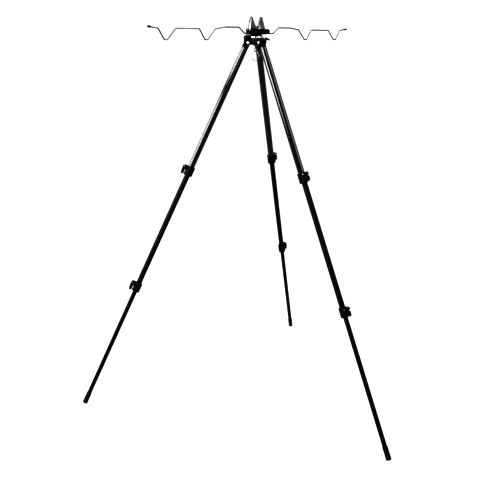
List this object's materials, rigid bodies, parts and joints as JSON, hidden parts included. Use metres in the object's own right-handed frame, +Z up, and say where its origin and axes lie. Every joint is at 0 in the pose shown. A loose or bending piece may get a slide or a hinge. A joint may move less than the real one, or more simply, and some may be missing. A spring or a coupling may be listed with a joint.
{
  "type": "folding telescopic rod rest tripod",
  "caption": "Folding tripod on telescopic legs with flip locks, carrying a swivelling head with an upright fork and notched wire arms that hold rods side by side.",
  "frame": {"origin": "on the ground, at the middle of the bounding box of the opened tripod", "axes": "+Z up, the front leg towards -Y, the wire arms along X"},
  "size_m": [0.9516, 0.8265, 1.1682],
  "materials": {
    "gloss_black_tube": "gloss black lacquered",
    "satin_black_tube": "satin black anodised",
    "blackened_steel": "satin blackened",
    "black_plastic": "satin black, fine moulded grain",
    "dark_fork_plastic": "satin dark olive grey",
    "grey_nylon": "matte",
    "black_rubber": "matte",
    "bright_steel": "bright zinc plated",
    "chromed_wire": "polished chrome"
  },
  "bodies": {
    "hub": {"hub_body": "black_plastic", "centre_eye_bolt": "blackened_steel", "front_leg_pivot_bolt": "bright_steel", "front_leg_pivot_nut": "bright_steel", "right_leg_pivot_bolt": "bright_steel", "right_leg_pivot_nut": "bright_steel", "left_leg_pivot_bolt": "bright_steel", "left_leg_pivot_nut": "bright_steel"},
    "head": {"head_block": "black_plastic", "rod_fork": "dark_fork_plastic", "fork_pin": "blackened_steel", "left_arm_bolt": "blackened_steel", "right_arm_bolt": "blackened_steel"},
    "swivel_clamp": {"swivel_lever": "bright_steel", "swivel_lever_grip": "black_plastic"},
    "ring": {"hanging_ring": "blackened_steel"},
    "left_arm": {"left_wire_arm": "chromed_wire", "left_arm_end_cap": "black_rubber"},
    "right_arm": {"right_wire_arm": "chromed_wire", "right_arm_end_cap": "black_rubber"},
    "front_upper_leg": {"front_leg_knuckle": "black_plastic", "front_upper_tube": "gloss_black_tube", "front_upper_lock_collar": "black_plastic", "front_upper_lock_pin": "bright_steel"},
    "front_middle_leg": {"front_middle_tube": "satin_black_tube", "front_middle_bush": "grey_nylon", "front_lower_lock_collar": "black_plastic", "front_lower_lock_pin": "bright_steel"},
    "front_lower_leg": {"front_lower_tube": "satin_black_tube", "front_lower_bush": "grey_nylon", "front_foot_tip": "black_rubber"},
    "front_upper_lever": {"front_upper_lock_lever": "black_plastic"},
    "front_lower_lever": {"front_lower_lock_lever": "black_plastic"},
    "right_upper_leg": {"right_leg_knuckle": "black_plastic", "right_upper_tube": "gloss_black_tube", "right_upper_lock_collar": "black_plastic", "right_upper_lock_pin": "bright_steel"},
    "right_middle_leg": {"right_middle_tube": "satin_black_tube", "right_middle_bush": "grey_nylon", "right_lower_lock_collar": "black_plastic", "right_lower_lock_pin": "bright_steel"},
    "right_lower_leg": {"right_lower_tube": "satin_black_tube", "right_lower_bush": "grey_nylon", "right_foot_tip": "black_rubber"},
    "right_upper_lever": {"right_upper_lock_lever": "black_plastic"},
    "right_lower_lever": {"right_lower_lock_lever": "black_plastic"},
    "left_upper_leg": {"left_leg_knuckle": "black_plastic", "left_upper_tube": "gloss_black_tube", "left_upper_lock_collar": "black_plastic", "left_upper_lock_pin": "bright_steel"},
    "left_middle_leg": {"left_middle_tube": "satin_black_tube", "left_middle_bush": "grey_nylon", "left_lower_lock_collar": "black_plastic", "left_lower_lock_pin": "bright_steel"},
    "left_lower_leg": {"left_lower_tube": "satin_black_tube", "left_lower_bush": "grey_nylon", "left_foot_tip": "black_rubber"},
    "left_upper_lever": {"left_upper_lock_lever": "black_plastic"},
    "left_lower_lever": {"left_lower_lock_lever": "black_plastic"}
  },
  "joints": [
    {"name": "head_swivel", "type": "hinge", "parent": "hub", "child": "head", "pos_m": [0, 0.1351, 1.09632], "axis": [0, 0, 1], "continuous": true},
    {"name": "swivel_clamp_turn", "type": "hinge", "parent": "hub", "child": "swivel_clamp", "pos_m": [0, 0.1351, 1.09632], "axis": [0, 0, 1], "range_deg": [0, 30]},
    {"name": "ring_swing", "type": "hinge", "parent": "hub", "child": "ring", "pos_m": [0, 0.1351, 1.07132], "axis": [1, 0, 0], "range_deg": [-60, 60]},
    {"name": "left_arm_fold", "type": "hinge", "parent": "head", "child": "left_arm", "pos_m": [-0.03, 0.1211, 1.12692], "axis": [0, 1, 0], "range_deg": [0, 90]},
    {"name": "right_arm_fold", "type": "hinge", "parent": "head", "child": "right_arm", "pos_m": [0.03, 0.1211, 1.12692], "axis": [0, -1, 0], "range_deg": [0, 90]},
    {"name": "front_leg_fold", "type": "hinge", "parent": "hub", "child": "front_upper_leg", "pos_m": [0, 0.1101, 1.09632], "axis": [1, 0, 0], "range_deg": [0, 25.3]},
    {"name": "front_middle_slide", "type": "slide", "parent": "front_upper_leg", "child": "front_middle_leg", "axis": [0, 0.4274, 0.9041], "range_m": [0, 0.3]},
    {"name": "front_lower_slide", "type": "slide", "parent": "front_middle_leg", "child": "front_lower_leg", "axis": [0, 0.4274, 0.9041], "range_m": [0, 0.357]},
    {"name": "front_upper_lever_open", "type": "hinge", "parent": "front_upper_leg", "child": "front_upper_lever", "pos_m": [-0.0051, -0.07521, 0.74591], "axis": [-0.9613, 0.2492, -0.1178], "range_deg": [0, 110]},
    {"name": "front_lower_lever_open", "type": "hinge", "parent": "front_middle_leg", "child": "front_lower_lever", "pos_m": [-0.0051, -0.24188, 0.39332], "axis": [-0.9613, 0.2492, -0.1178], "range_deg": [0, 110]},
    {"name": "right_leg_fold", "type": "hinge", "parent": "hub", "child": "right_upper_leg", "pos_m": [0.02165, 0.1476, 1.09632], "axis": [-0.5, 0.866, 0], "range_deg": [0, 25.3]},
    {"name": "right_middle_slide", "type": "slide", "parent": "right_upper_leg", "child": "right_middle_leg", "axis": [-0.3701, -0.2137, 0.9041], "range_m": [0, 0.3]},
    {"name": "right_lower_slide", "type": "slide", "parent": "right_middle_leg", "child": "right_lower_leg", "axis": [-0.3701, -0.2137, 0.9041], "range_m": [0, 0.357]},
    {"name": "right_upper_lever_open", "type": "hinge", "parent": "right_upper_leg", "child": "right_upper_lever", "pos_m": [0.18468, 0.23584, 0.74591], "axis": [0.2648, -0.9571, -0.1178], "range_deg": [0, 110]},
    {"name": "right_lower_lever_open", "type": "hinge", "parent": "right_middle_leg", "child": "right_lower_lever", "pos_m": [0.32903, 0.31917, 0.39332], "axis": [0.2648, -0.9571, -0.1178], "range_deg": [0, 110]},
    {"name": "left_leg_fold", "type": "hinge", "parent": "hub", "child": "left_upper_leg", "pos_m": [-0.02165, 0.1476, 1.09632], "axis": [-0.5, -0.866, 0], "range_deg": [0, 25.3]},
    {"name": "left_middle_slide", "type": "slide", "parent": "left_upper_leg", "child": "left_middle_leg", "axis": [0.3701, -0.2137, 0.9041], "range_m": [0, 0.3]},
    {"name": "left_lower_slide", "type": "slide", "parent": "left_middle_leg", "child": "left_lower_leg", "axis": [0.3701, -0.2137, 0.9041], "range_m": [0, 0.357]},
    {"name": "left_upper_lever_open", "type": "hinge", "parent": "left_upper_leg", "child": "left_upper_lever", "pos_m": [-0.17958, 0.24467, 0.74591], "axis": [0.6964, 0.7079, -0.1178], "range_deg": [0, 110]},
    {"name": "left_lower_lever_open", "type": "hinge", "parent": "left_middle_leg", "child": "left_lower_lever", "pos_m": [-0.32393, 0.328, 0.39332], "axis": [0.6964, 0.7079, -0.1178], "range_deg": [0, 110]}
  ]
}
